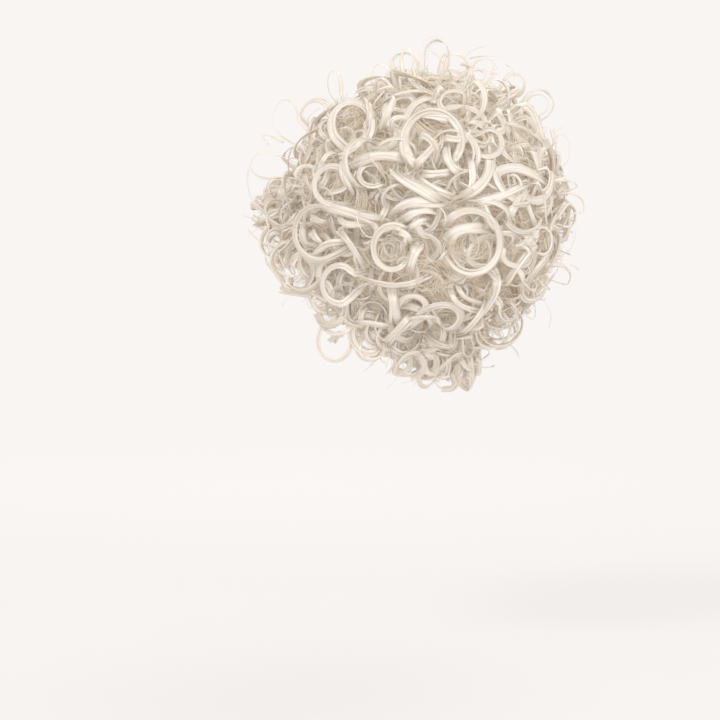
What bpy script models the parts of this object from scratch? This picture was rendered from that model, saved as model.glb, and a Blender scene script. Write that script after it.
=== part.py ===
"""Top knot hairpiece: a ball of loose ribbon curls sewn in tiers to a small cap.

The origin is where the cap's middle rests on the crown of the head. +Z is up, the wearer faces
-Y and the wearer's left is +X. Every piece is modelled upright over that point, in the seat's
own frame, and an empty there leans them all back the way the knot is worn.
"""

from math import asin, cos, degrees, pi, radians, sin, sqrt, tanh

import bmesh
import bpy
from mathutils import Matrix, Vector

MM = 0.001
GAP = 0.4 * MM

LEAN_BACK = radians(44)
SEAT = Matrix.Rotation(-LEAN_BACK, 3, "X")

HEAD_RADIUS = 103 * MM
HEAD_CLEARANCE = 1.6 * MM
HEAD_SQUEEZE = 0.816
KNOT_MIDDLE = Vector((0, 0, 17 * MM))
MASS_RADIUS = 98 * MM
ROOT_RADIUS = 90 * MM
CURL_RADIUS = 109 * MM
BAND_RADIUS = 112 * MM
BAND_BOW = 0.7
LUMP_HEIGHT = 3 * MM
AROUND = 24

CAP_RIM_RADIUS = 65.5 * MM
CAP_RIM_HEIGHT = -19 * MM
CAP_HEIGHT = 49 * MM
CAP_WALL = 1.4 * MM
CAP_EASE = 0.9 * MM
ELASTIC_RADIUS = 1.7 * MM

COMB_WIDTH = 38 * MM
COMB_SPINE = 5 * MM
COMB_LENGTH = 23 * MM
COMB_THICKNESS = 1.6 * MM
COMB_TEETH = 10
COMB_REACH = 57.5 * MM
COMB_LIFT = 2.2 * MM

FILL_WIDTH = 10.5 * MM
LOCK_FULLNESS = 1.35
LOCK_THICKNESS = 4.4 * MM
LOCK_SIDES = 6
LOCK_STEPS = 9
LOCK_TIP = 0.45
HOOP_SWEEP = radians(325)
ROOT_SHARE = 0.14
STEEPEST_LEAN = 0.9

# The side that shows best is seen from behind and to the wearer's left. The curls of that side
# are placed as they lie in that view, right and up from the knot's middle, in millimetres.
SHOW_AZIMUTH = radians(123)
SHOW_ELEVATION = radians(3)

TIERS = (
    # name, top and bottom edge as degrees from the seat's axis about the knot's middle
    ("crown_weft_curls", 0, 50),
    ("middle_weft_curls", 50, 88),
    ("lower_weft_curls", 88, 123),
)

INNER_END = radians(113)
SQUEEZE_FROM = radians(96)
SQUEEZE_TO = radians(123)
EASE_FROM = 0.6
EASE_TO = 0.98

# The bottom tier leaves the ball here and hangs down over the scalp.
BALL_END = 112
DRAPE = (
    # degrees from the seat's axis about the head's middle, distance from the head in mm
    (55, 11),
    (60, 8),
    (64, 1.6),
)

# Locks of the bottom tier hang over the scalp, a little past the edge of the hair mass.
DRAPE_ANGLE = radians(142)
DRAPE_RISE = 8 * MM

HOOPS = (
    # right, up, half width, half height, turn in degrees where the hoop starts, ribbon width
    (-55, 68, 17, 19, 220, 7),
    (6, 56, 23, 25, 200, 8),
    (35, -21, 24, 26, 230, 8),
    (-80, -13, 18, 21, 60, 6),
    (-25, -26, 14, 16, 20, 6),
    (-64, -52, 14, 16, 100, 7),
    (-68, -95, 13, 16, 60, 7),
    (-104, -37, 17, 10, 30, 6),
    (-69, 22, 15, 16, 320, 7),
    (85, 82, 14, 14, 210, 6),
    (69, -29, 11, 10, 250, 6),
    (89, -20, 8, 11, 180, 5),
    (52, 90, 11, 12, 250, 6),
    (-34, 104, 9, 12, 270, 5),
    (-69, 98, 7, 13, 290, 5),
    (9, 122, 10, 12, 270, 6),
    (-116, 38, 14, 11, 0, 5),
    (115, 5, 9, 12, 180, 5),
    (102, -44, 11, 9, 140, 5),
    (34, -99, 7, 9, 60, 5),
    (58, -80, 9, 9, 90, 6),
)

BANDS = (
    # right and up of the start, the middle and the end, ribbon width
    (-93, 82, -84, 96, -62, 92, 7),
    (-14, 110, 4, 96, 34, 88, 7),
    (-59, 38, -25, 48, -6, 37, 8),
    (-79, 10, -52, 4, -26, -5, 9),
    (-65, -10, -52, -28, -46, -42, 8),
    (-24, 34, -4, 22, 20, 10, 9),
    (46, 50, 40, 22, 18, 11, 8),
    (44, 21, 66, 35, 98, 22, 8),
    (30, 8, 60, 14, 82, 27, 8),
    (75, 20, 70, 6, 62, -8, 6),
    (-109, -55, -82, -65, -57, -88, 7),
    (-24, -50, -24, -68, -20, -84, 8),
    (-41, -106, -16, -80, 14, -68, 8),
    (-18, -88, 2, -80, 22, -76, 8),
    (50, -41, 54, -66, 30, -88, 7),
    (-2, -95, 12, -102, 25, -106, 6),
    (-18, 62, 0, 72, 26, 67, 8),
    (56, 68, 70, 66, 96, 48, 6),
    (-10, 30, 0, 52, 14, 55, 7),
)

FILL_COUNT = 40
FILL_CLEARANCE = radians(16)
FILL_TO = radians(132)
FILL_RADIUS = 14 * MM
FILL_RADIUS_RANGE = 4 * MM
FILL_LEAN = radians(60)
FILL_LEAN_RANGE = radians(44)
FILL_SHRINK = 0.18
UNEVEN_STEPS = (0.618, 0.755, 0.549)
GOLDEN_TURN = pi * (3 - sqrt(5))


def clear_scene():
    for item in list(bpy.data.objects):
        bpy.data.objects.remove(item, do_unlink=True)


def new_collection(name):
    collection = bpy.data.collections.new(name)
    bpy.context.scene.collection.children.link(collection)
    return collection


def material(name, colour, roughness, metallic=0.0):
    made = bpy.data.materials.new(name)
    made.use_nodes = True
    shader = made.node_tree.nodes["Principled BSDF"]
    shader.inputs["Base Color"].default_value = (*colour, 1)
    shader.inputs["Roughness"].default_value = roughness
    shader.inputs["Metallic"].default_value = metallic
    return made


def add_object(name, mesh, collection, seat, finish=None):
    made = bpy.data.objects.new(name, mesh)
    collection.objects.link(made)
    made.parent = seat
    if finish:
        mesh.materials.append(finish)
    return made


def show_axes():
    """Right, up and outward of the show view, in the seat's frame."""
    right = Vector((cos(SHOW_AZIMUTH), sin(SHOW_AZIMUTH), 0))
    out = Vector((
        sin(SHOW_AZIMUTH) * cos(SHOW_ELEVATION),
        -cos(SHOW_AZIMUTH) * cos(SHOW_ELEVATION),
        sin(SHOW_ELEVATION),
    ))
    up = out.cross(right)
    to_seat = SEAT.inverted()
    return to_seat @ right, to_seat @ up, to_seat @ out


def polar_angle(direction):
    return Vector((0, 0, 1)).angle(direction)


def squeeze_at(angle):
    """How much narrower the knot is across the head: round above, as narrow as the head below."""
    share = min(max((angle - SQUEEZE_FROM) / (SQUEEZE_TO - SQUEEZE_FROM), 0), 1)
    return 1 + (HEAD_SQUEEZE - 1) * share * share * (3 - 2 * share)


def lump(angle, turn):
    """Height of the soft lumps on the hair mass."""
    wave = sin(3 * turn + 2.1 * angle) * cos(4 * angle) + 0.6 * sin(5 * turn - 3 * angle + 1)
    return LUMP_HEIGHT * wave * sin(min(angle, radians(100)))


def cap_reach(angle, offset):
    """Distance from the knot's middle to the cap's surface, moved out by an offset."""
    across = CAP_RIM_RADIUS + offset
    height = CAP_HEIGHT + offset
    drop = KNOT_MIDDLE.z - CAP_RIM_HEIGHT
    a = (sin(angle) / across) ** 2 + (cos(angle) / height) ** 2
    b = 2 * drop * cos(angle) / height ** 2
    c = (drop / height) ** 2 - 1
    return (-b + sqrt(b * b - 4 * a * c)) / (2 * a)


def head_height(radius, clearance):
    return sqrt((HEAD_RADIUS + clearance) ** 2 - radius ** 2) - HEAD_RADIUS


def polar_point(angle, reach, aside=0.0):
    """Radius and height of a point seen from the knot's middle, moved aside towards the rim."""
    radius = reach * sin(angle) + aside * cos(angle)
    height = KNOT_MIDDLE.z + reach * cos(angle) - aside * sin(angle)
    return radius, height


def tier_section(top, bottom):
    """Closed outline of one tier of hair: (radius, height, squeeze, is outer) down and back up."""
    steps = 3 if top else 4
    lower = bottom >= TIERS[-1][2]
    bottom = min(bottom, BALL_END)
    outer, inner = [], []
    for step in range(steps + 1):
        angle = radians(top + (bottom - top) * step / steps)
        aside = 0.0
        if step == 0 and top:
            aside = GAP / 2
        if step == steps and not lower:
            aside = -GAP / 2
        outer.append((*polar_point(angle, MASS_RADIUS, aside), squeeze_at(angle), True))
        inner_angle = min(angle, INNER_END)
        inner_reach = cap_reach(inner_angle, CAP_EASE)
        inner.append((*polar_point(inner_angle, inner_reach, aside), HEAD_SQUEEZE, False))
    if lower:
        elastic_edge = CAP_RIM_RADIUS - CAP_WALL / 2 + ELASTIC_RADIUS + 3 * GAP
        for angle, clearance in DRAPE:
            reach = HEAD_RADIUS + clearance * MM
            edge_radius = reach * sin(radians(angle))
            height = reach * cos(radians(angle)) - HEAD_RADIUS
            outer.append((edge_radius, height, HEAD_SQUEEZE, False))
        middle_radius = (edge_radius + elastic_edge) / 2
        for radius in (middle_radius, elastic_edge):
            height = head_height(radius, HEAD_CLEARANCE)
            outer.append((radius, height, HEAD_SQUEEZE, False))
        inner[-1] = (elastic_edge, CAP_RIM_HEIGHT + 1.5 * MM, HEAD_SQUEEZE, False)
    return outer + inner[::-1]


def tier_mass(top, bottom):
    """The hair mass of one tier: its outline carried round the seat's axis."""
    section = tier_section(top, bottom)
    bm = bmesh.new()
    rings = []
    for radius, height, squeeze, is_outer in section:
        if radius < 0.5 * MM:
            rings.append([bm.verts.new((0, 0, height))])
            continue
        ring = []
        for step in range(AROUND):
            turn = 2 * pi * step / AROUND
            point = Vector((radius * squeeze * sin(turn), -radius * cos(turn), height))
            if is_outer:
                spoke = point - KNOT_MIDDLE
                point += spoke.normalized() * lump(polar_angle(spoke), turn)
            ring.append(bm.verts.new(point))
        rings.append(ring)
    for index, ring in enumerate(rings):
        following = rings[(index + 1) % len(rings)]
        bridge(bm, ring, following)
    bmesh.ops.triangulate(bm, faces=bm.faces[:])
    bmesh.ops.recalc_face_normals(bm, faces=bm.faces[:])
    mesh = bpy.data.meshes.new("tier_mass")
    bm.to_mesh(mesh)
    bm.free()
    return mesh


def bridge(bm, ring, following):
    """Faces between two rings of one outline, or a fan where one of them is a pole."""
    if len(ring) == 1 and len(following) == 1:
        return
    for step in range(AROUND):
        after = (step + 1) % AROUND
        if len(ring) == 1:
            bm.faces.new((ring[0], following[step], following[after]))
        elif len(following) == 1:
            bm.faces.new((ring[after], ring[step], following[0]))
        else:
            bm.faces.new((ring[after], ring[step], following[step], following[after]))


def lift(right, up, reach, axes):
    """Point on a ball of that reach about the knot's middle, seen at (right, up)."""
    across, upward, outward = axes
    depth = sqrt(max(reach * reach - right * right - up * up, 0))
    return across * right + upward * up + outward * depth


def hoop_path(row, axes):
    """A ring that faces the show view, leaning with the ball, with both ends down in the hair."""
    right, up, half_width, half_height = (value * MM for value in row[:4])
    start = radians(row[4])
    across, upward, outward = axes
    away = sqrt(right * right + up * up)
    depth = sqrt(max(CURL_RADIUS ** 2 - away * away, 0))
    slope = min(away / max(depth, MM), STEEPEST_LEAN)
    points = []
    for step in range(LOCK_STEPS + 1):
        share = step / LOCK_STEPS
        turn = start + HOOP_SWEEP * share
        x = half_width * cos(turn)
        y = half_height * sin(turn)
        beyond = (x * right + y * up) / max(away, MM)
        point = across * (right + x) + upward * (up + y) + outward * (depth - slope * beyond)
        points.append(sink_ends(point, share))
    return points


def band_path(row, axes):
    """A band that climbs out of the hair, bows over and goes back in."""
    start, middle, end = ((row[i] * MM, row[i + 1] * MM) for i in (0, 2, 4))
    points = []
    for step in range(LOCK_STEPS):
        share = step / (LOCK_STEPS - 1)
        before = 2 * (share - 0.5) * (share - 1)
        at_middle = -4 * share * (share - 1)
        after = 2 * share * (share - 0.5)
        right = start[0] * before + middle[0] * at_middle + end[0] * after
        up = start[1] * before + middle[1] * at_middle + end[1] * after
        reach = ROOT_RADIUS + (BAND_RADIUS - ROOT_RADIUS) * sin(pi * share) ** BAND_BOW
        points.append(lift(right, up, reach, axes))
    return points


def fill_path(index):
    """A leaning hoop on the sides that the show view doesn't reach, rooted at its lowest point."""
    covered = (1 - cos(FILL_TO)) / 2
    angle = 2 * asin(sqrt(covered * (index + 0.5) / FILL_COUNT))
    turn = GOLDEN_TURN * index
    out = Vector((sin(angle) * sin(turn), -sin(angle) * cos(turn), cos(angle)))
    size, slope, heading = ((index * step) % 1 for step in UNEVEN_STEPS)
    radius = FILL_RADIUS + (size - 0.5) * FILL_RADIUS_RANGE
    lean = FILL_LEAN + (slope - 0.5) * FILL_LEAN_RANGE
    side = out.orthogonal().normalized()
    side.rotate(Matrix.Rotation(2 * pi * heading, 3, out))
    along = out.cross(side)
    rise = side * cos(lean) + out * sin(lean)
    middle = out * ROOT_RADIUS + rise * radius
    points = []
    for step in range(LOCK_STEPS + 1):
        share = step / LOCK_STEPS
        sweep = HOOP_SWEEP * share + radians(15)
        shrink = 1 - FILL_SHRINK * share
        offset = along * sin(sweep) * radius * shrink - rise * cos(sweep) * radius * shrink
        points.append(sink_ends(middle + offset, share))
    return out, points


def sink_ends(point, share):
    """Draw the first and last steps of a lock down to its root."""
    nearness = max(1 - min(share, 1 - share) / ROOT_SHARE, 0)
    reach = point.length
    return point * ((reach + (ROOT_RADIUS - reach) * nearness) / reach)


def clear_of_head(point, clearance):
    """The point, moved out from the middle of the head if it lies too near the scalp."""
    spoke = Vector((point.x / HEAD_SQUEEZE, point.y, point.z + HEAD_RADIUS))
    spoke *= max(1, (HEAD_RADIUS + clearance) / spoke.length)
    return Vector((spoke.x * HEAD_SQUEEZE, spoke.y, spoke.z - HEAD_RADIUS))


def slid_clear(point, clearance, outward):
    """The point, slid towards the show view until it clears the scalp."""
    place = Vector((point.x / HEAD_SQUEEZE, point.y, point.z + HEAD_RADIUS))
    way = Vector((outward.x / HEAD_SQUEEZE, outward.y, outward.z))
    inside = (HEAD_RADIUS + clearance) ** 2 - place.length_squared
    if inside <= 0:
        return point
    half = place.dot(way) / way.length_squared
    return point + outward * (sqrt(half * half + inside / way.length_squared) - half)


def eased(share):
    """A share of half a tier: as it is near the middle, and held short of 1 near the edge."""
    excess = max(abs(share) - EASE_FROM, 0)
    held = min(abs(share), EASE_FROM) + (EASE_TO - EASE_FROM) * tanh(excess / (1 - EASE_FROM))
    return held if share > 0 else -held


def keep_in_tier(points, width, outward):
    """Name of the lock's tier, and the lock bent to stay between that tier's edges."""
    angles = [polar_angle(point) for point in points]
    mean = degrees(sum(angles) / len(angles))
    name, top, bottom = next(tier for tier in TIERS if mean < tier[2] or tier is TIERS[-1])
    margin = (width / 2 + GAP) / ROOT_RADIUS
    low = radians(top) + margin if top else -radians(60)
    high = DRAPE_ANGLE if bottom == TIERS[-1][2] else radians(bottom) - margin
    middle, half = (low + high) / 2, (high - low) / 2
    kept = []
    for index, (point, angle) in enumerate(zip(points, angles)):
        new_angle = middle + half * eased((angle - middle) / half)
        flat = Vector((point.x, point.y, 0)).normalized()
        moved = flat * sin(new_angle) + Vector((0, 0, cos(new_angle)))
        moved *= point.length
        moved.x *= squeeze_at(new_angle)
        clearance = 1.3 * LOCK_THICKNESS + DRAPE_RISE * sin(pi * index / (len(points) - 1))
        place = KNOT_MIDDLE + moved
        if outward:
            place = slid_clear(place, clearance, outward)
        kept.append(clear_of_head(place, clearance))
    return name, kept


def lock_mesh(points, width):
    """A ribbon along the points, flat side outwards halfway and thinner towards its tip."""
    last = len(points) - 1
    tangents = [
        (points[min(index + 1, last)] - points[max(index - 1, 0)]).normalized()
        for index in range(last + 1)
    ]
    middle = last // 2
    sides = {middle: tangents[middle].cross(points[middle] - KNOT_MIDDLE).normalized()}
    for index in [*range(middle + 1, last + 1), *range(middle - 1, -1, -1)]:
        nearer = sides[index - 1 if index > middle else index + 1]
        tangent = tangents[index]
        sides[index] = (nearer - tangent * nearer.dot(tangent)).normalized()
    bm = bmesh.new()
    rings = []
    for index, point in enumerate(points):
        size = 1 - (1 - LOCK_TIP) * (index / last) ** 2
        flat = tangents[index].cross(sides[index])
        ring = []
        for corner in range(LOCK_SIDES):
            turn = 2 * pi * corner / LOCK_SIDES
            offset = sides[index] * cos(turn) * width / 2 + flat * sin(turn) * LOCK_THICKNESS / 2
            ring.append(bm.verts.new(point + offset * size))
        rings.append(ring)
    for ring, following in zip(rings, rings[1:]):
        for corner in range(LOCK_SIDES):
            after = (corner + 1) % LOCK_SIDES
            bm.faces.new((ring[corner], ring[after], following[after], following[corner]))
    bm.faces.new(rings[0][::-1])
    bm.faces.new(rings[-1])
    bmesh.ops.triangulate(bm, faces=bm.faces[:])
    bmesh.ops.recalc_face_normals(bm, faces=bm.faces[:])
    mesh = bpy.data.meshes.new("lock")
    bm.to_mesh(mesh)
    bm.free()
    return mesh


def all_locks():
    """Path, width and view of every lock: those of the show side, then the fill all round."""
    axes = show_axes()
    outward = axes[2]
    locks = [(hoop_path(row, axes), row[5] * LOCK_FULLNESS * MM, outward) for row in HOOPS]
    locks += [(band_path(row, axes), row[6] * LOCK_FULLNESS * MM, outward) for row in BANDS]
    middles = [sum(points, Vector()) / len(points) for points, _, _ in locks]
    for index in range(FILL_COUNT):
        out, points = fill_path(index)
        if min(out.angle(middle) for middle in middles) > FILL_CLEARANCE:
            locks.append((points, FILL_WIDTH, None))
    return locks


def make_tiers(parts, cutters, seat, finish):
    bundles = {name: new_lock_collection(name, cutters) for name, _, _ in TIERS}
    for index, (points, width, outward) in enumerate(all_locks()):
        name, kept = keep_in_tier(points, width, outward)
        mesh = lock_mesh(kept, width)
        lock = add_object(f"lock_{index + 1}", mesh, bundles[name], seat)
        lock.hide_render = True
        lock.display_type = "WIRE"
    for name, top, bottom in TIERS:
        tier = add_object(name, tier_mass(top, bottom), parts, seat, finish)
        union = tier.modifiers.new("locks", "BOOLEAN")
        union.operation = "UNION"
        union.operand_type = "COLLECTION"
        union.collection = bundles[name]
        union.solver = "EXACT"


def new_lock_collection(name, cutters):
    collection = bpy.data.collections.new(name + "_locks")
    cutters.children.link(collection)
    return collection


def make_cap(parts, seat, finish):
    """Thin dome, a profile turned round the seat's axis and as narrow as the head."""
    steps = 6
    bm = bmesh.new()
    points = []
    for step in range(steps + 1):
        angle = pi / 2 * (1 - step / steps)
        radius = (CAP_RIM_RADIUS - CAP_WALL / 2) * cos(angle)
        height = CAP_RIM_HEIGHT + (CAP_HEIGHT - CAP_WALL / 2) * sin(angle)
        points.append(bm.verts.new((radius, 0, height)))
    for start, end in zip(points, points[1:]):
        bm.edges.new((start, end))
    mesh = bpy.data.meshes.new("base_cap")
    bm.to_mesh(mesh)
    bm.free()
    cap = add_object("base_cap", mesh, parts, seat, finish)
    turned = cap.modifiers.new("turned", "SCREW")
    turned.steps = turned.render_steps = AROUND
    turned.use_merge_vertices = True
    turned.merge_threshold = 0.01 * MM
    turned.use_smooth_shade = True
    wall = cap.modifiers.new("wall", "SOLIDIFY")
    wall.thickness = CAP_WALL
    wall.offset = 0
    cap.scale.x = HEAD_SQUEEZE


def make_elastic(parts, seat, finish):
    """Ring that rests on the head just under the cap's rim."""
    ring_radius = CAP_RIM_RADIUS - CAP_WALL / 2
    height = head_height(ring_radius, ELASTIC_RADIUS)
    bpy.ops.mesh.primitive_torus_add(
        major_radius=ring_radius, minor_radius=ELASTIC_RADIUS, major_segments=AROUND, minor_segments=6
    )
    ring = bpy.context.object
    ring.name = "rim_elastic"
    for collection in ring.users_collection:
        collection.objects.unlink(ring)
    parts.objects.link(ring)
    ring.parent = seat
    ring.location.z = height
    ring.scale.x = HEAD_SQUEEZE
    ring.data.materials.append(finish)
    ring.data.shade_smooth()


def comb_mesh():
    """Flat comb: a spine along X with its teeth pointing to +Y."""
    pitch = COMB_WIDTH / (COMB_TEETH - 0.4)
    tooth = 0.6 * pitch
    outline = [(-COMB_WIDTH / 2, 0)]
    for index in range(COMB_TEETH):
        left = -COMB_WIDTH / 2 + index * pitch
        outline += [
            (left, COMB_SPINE),
            (left + 0.1 * tooth, COMB_LENGTH - MM),
            (left + tooth / 2, COMB_LENGTH),
            (left + 0.9 * tooth, COMB_LENGTH - MM),
            (left + tooth, COMB_SPINE),
        ]
    outline.append((COMB_WIDTH / 2, 0))
    bm = bmesh.new()
    verts = [bm.verts.new((x, y, 0)) for x, y in outline]
    bm.faces.new(verts[::-1])
    mesh = bpy.data.meshes.new("comb")
    bm.to_mesh(mesh)
    bm.free()
    return mesh


def make_combs(parts, seat, finish):
    """A comb inside the rim in front and one behind, teeth along the head towards the middle."""
    inner = COMB_REACH - COMB_LENGTH
    rise = head_height(inner, COMB_LIFT) - head_height(COMB_REACH, COMB_LIFT)
    slope = asin(rise / COMB_LENGTH)
    for name, turn in (("front_comb", 0.0), ("back_comb", pi)):
        comb = add_object(name, comb_mesh(), parts, seat, finish)
        start = Vector((0, -COMB_REACH, head_height(COMB_REACH, COMB_LIFT)))
        comb.matrix_local = (
            Matrix.Rotation(turn, 4, "Z") @ Matrix.Translation(start) @ Matrix.Rotation(slope, 4, "X")
        )
        wall = comb.modifiers.new("wall", "SOLIDIFY")
        wall.thickness = COMB_THICKNESS
        wall.offset = 0


def main():
    clear_scene()
    parts = new_collection("top_knot_hairpiece")
    cutters = new_collection("top_knot_hairpiece_cutters")
    seat = bpy.data.objects.new("seat", None)
    seat.rotation_euler.x = -LEAN_BACK
    parts.objects.link(seat)
    hair = material("curls", (0.74, 0.63, 0.49), 0.38)
    cap = material("cap", (0.58, 0.47, 0.34), 0.85)
    comb = material("comb", (0.16, 0.1, 0.06), 0.4)
    make_tiers(parts, cutters, seat, hair)
    make_cap(parts, seat, cap)
    make_elastic(parts, seat, cap)
    make_combs(parts, seat, comb)


main()
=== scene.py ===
"""Looks of the top knot hairpiece: ribbon curls, frizz and hair mass over a plain base cap."""

from math import cos, pi, radians, sin, sqrt

import bpy
import numpy as np
from mathutils import Matrix, Vector


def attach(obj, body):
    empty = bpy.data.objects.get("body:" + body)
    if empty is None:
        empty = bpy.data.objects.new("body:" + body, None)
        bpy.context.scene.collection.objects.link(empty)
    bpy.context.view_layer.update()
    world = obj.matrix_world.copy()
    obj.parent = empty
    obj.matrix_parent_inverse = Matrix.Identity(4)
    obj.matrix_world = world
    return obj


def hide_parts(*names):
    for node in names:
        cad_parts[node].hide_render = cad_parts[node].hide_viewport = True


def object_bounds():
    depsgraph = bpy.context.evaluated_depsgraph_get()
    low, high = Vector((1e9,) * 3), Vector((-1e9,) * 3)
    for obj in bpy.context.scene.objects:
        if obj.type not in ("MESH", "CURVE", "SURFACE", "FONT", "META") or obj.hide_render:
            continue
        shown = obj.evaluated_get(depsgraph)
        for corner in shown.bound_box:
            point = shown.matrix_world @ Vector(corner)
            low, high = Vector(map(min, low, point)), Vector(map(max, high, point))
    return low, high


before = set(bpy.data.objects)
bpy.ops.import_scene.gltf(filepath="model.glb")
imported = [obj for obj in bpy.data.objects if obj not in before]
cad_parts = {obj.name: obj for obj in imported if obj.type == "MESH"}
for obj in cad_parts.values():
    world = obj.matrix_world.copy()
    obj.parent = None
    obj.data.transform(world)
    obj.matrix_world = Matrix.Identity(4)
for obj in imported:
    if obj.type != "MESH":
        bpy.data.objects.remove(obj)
cad_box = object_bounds()

MM = 0.001
rng = np.random.default_rng(20)
# Stray hair may stand out of the box of the solid pieces by this much.
STRAY_ROOM = 11 * MM

# The knot leans back from the seat on the crown of the head, and its middle lies above the seat.
LEAN_BACK = radians(44)
SEAT = np.array(Matrix.Rotation(-LEAN_BACK, 3, "X"))
HEAD_RADIUS = 103 * MM
HEAD_SQUEEZE = 0.816
HEAD_CLEARANCE = 1.6 * MM
HEAD_SHAPE = np.array((HEAD_SQUEEZE, 1, 1))
HEAD_DROP = np.array((0, 0, HEAD_RADIUS))
KNOT_HEIGHT = 17 * MM
KNOT_MIDDLE = SEAT @ np.array((0, 0, KNOT_HEIGHT))
KNOT_AXIS = SEAT @ np.array((0, 0, 1))
ROOT_RADIUS = 88 * MM
HOOP_RADIUS = 108 * MM
BAND_RADIUS = 111 * MM
# The ends of a band go no deeper than this below its top, or they would look like straight planks.
BAND_SINK = 15 * MM
MASS_RADIUS = 90 * MM
SQUEEZE_FROM = radians(96)
SQUEEZE_TO = radians(123)

TIERS = (
    # name of the tier, lowest edge in degrees from the knot's axis
    ("crown", 50),
    ("middle", 88),
    ("lower", 180),
)

# The side that shows best, seen from behind and to the wearer's left. Curls of that side are
# placed by steps to the right of and above the knot's middle in that view.
SHOW_AZIMUTH = radians(123)
SHOW_ELEVATION = radians(3)
CAMERA_DISTANCE = 1.65
STEP = 0.75 * MM
# The picture's middle lies this many steps to the left of and below the knot's middle.
AIM_RIGHT = 65
AIM_UP = 145
PICTURE_STEPS = 720
FLOOR_DROP = 0.321

HOOPS = (
    # right, up, half width, half height, turn, start, sweep, ribbon width, layer in mm
    (-138, 96, 12, 20, 0, 285, -330, 1.8, 0),
    (-157, 50, 18, 14, 0, 335, -300, 2.6, 0),
    (-107, 97, 18, 20, 0, 200, -170, 6, 0),
    (-73, 90, 23, 25, 0, 250, -320, 6.5, 2),
    (-90, 130, 7, 15, 8, 265, -350, 3.5, 0),
    (-45, 138, 10, 14, 0, 260, -340, 3, 0),
    (-18, 155, 6, 12, 0, 240, -320, 3, 0),
    (12, 157, 13, 19, 0, 200, -290, 3.5, 0),
    (53, 138, 7, 7, 0, 240, -330, 2.6, 0),
    (8, 75, 30, 31, 0, 250, -320, 8.5, 2),
    (113, 110, 16, 16, 0, 200, -300, 5, 0),
    (113, 110, 11, 11, 0, 170, -280, 2.6, 2),
    (136, 64, 9, 17, 0, 200, -330, 1.8, 0),
    (-92, 30, 20, 21, 0, 300, -300, 4.5, 1),
    (-107, -17, 24, 28, 0, 330, -330, 4.5, 1),
    (-139, -50, 23, 12, -25, 20, 320, 5, 0),
    (-33, -34, 19, 22, 0, 20, 325, 5, 2),
    (46, -28, 31, 34, 0, 170, -335, 6.5, 3),
    (118, -26, 10, 15, 0, 200, -340, 3.2, 0),
    (143, 7, 18, 16, 0, 150, -190, 2.8, 0),
    (140, -7, 10, 5, -10, 170, -330, 2.8, 0),
    (132, -62, 14, 13, 0, 150, -220, 3.6, 0),
    (92, -39, 14, 12, 0, 120, 310, 4.5, 2),
    (100, -2, 18, 16, 0, 165, 215, 4.5, 0),
    (-85, -69, 19, 21, 0, 320, -320, 5.5, 2),
    (-90, -126, 18, 21, 0, 60, 310, 5.5, 1),
    (15, -104, 23, 15, 10, 190, -300, 7, 2),
    (43, -132, 6, 10, 0, 120, 330, 2.8, 0),
    (70, 120, 14, 16, 0, 220, -320, 4, 0),
    (83, -97, 9, 10, 0, 120, 320, 3.4, 0),
    (-20, 150, 14, 12, 0, 200, -250, 4, 0),
    (28, 148, 16, 14, 0, 160, -260, 4.5, 0),
    (58, 146, 12, 10, 20, 200, -280, 3, 0),
    (88, 130, 12, 12, 0, 150, -300, 4, 0),
    (-52, 40, 15, 13, 0, 40, 300, 5, 0),
    (-60, -18, 13, 12, 0, 150, -280, 4.5, 0),
    (-12, -92, 15, 12, 0, 200, -260, 5, 1),
    (30, 112, 17, 13, 0, 20, 260, 5.5, 1),
    (-118, 35, 13, 15, 0, 200, -300, 4, 0),
    (62, 72, 16, 14, 0, 120, -290, 5, 1),
    (-48, -128, 15, 11, 0, 160, -290, 4.5, 1),
    (5, -150, 13, 10, 0, 200, -250, 4, 0),
)

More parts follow.
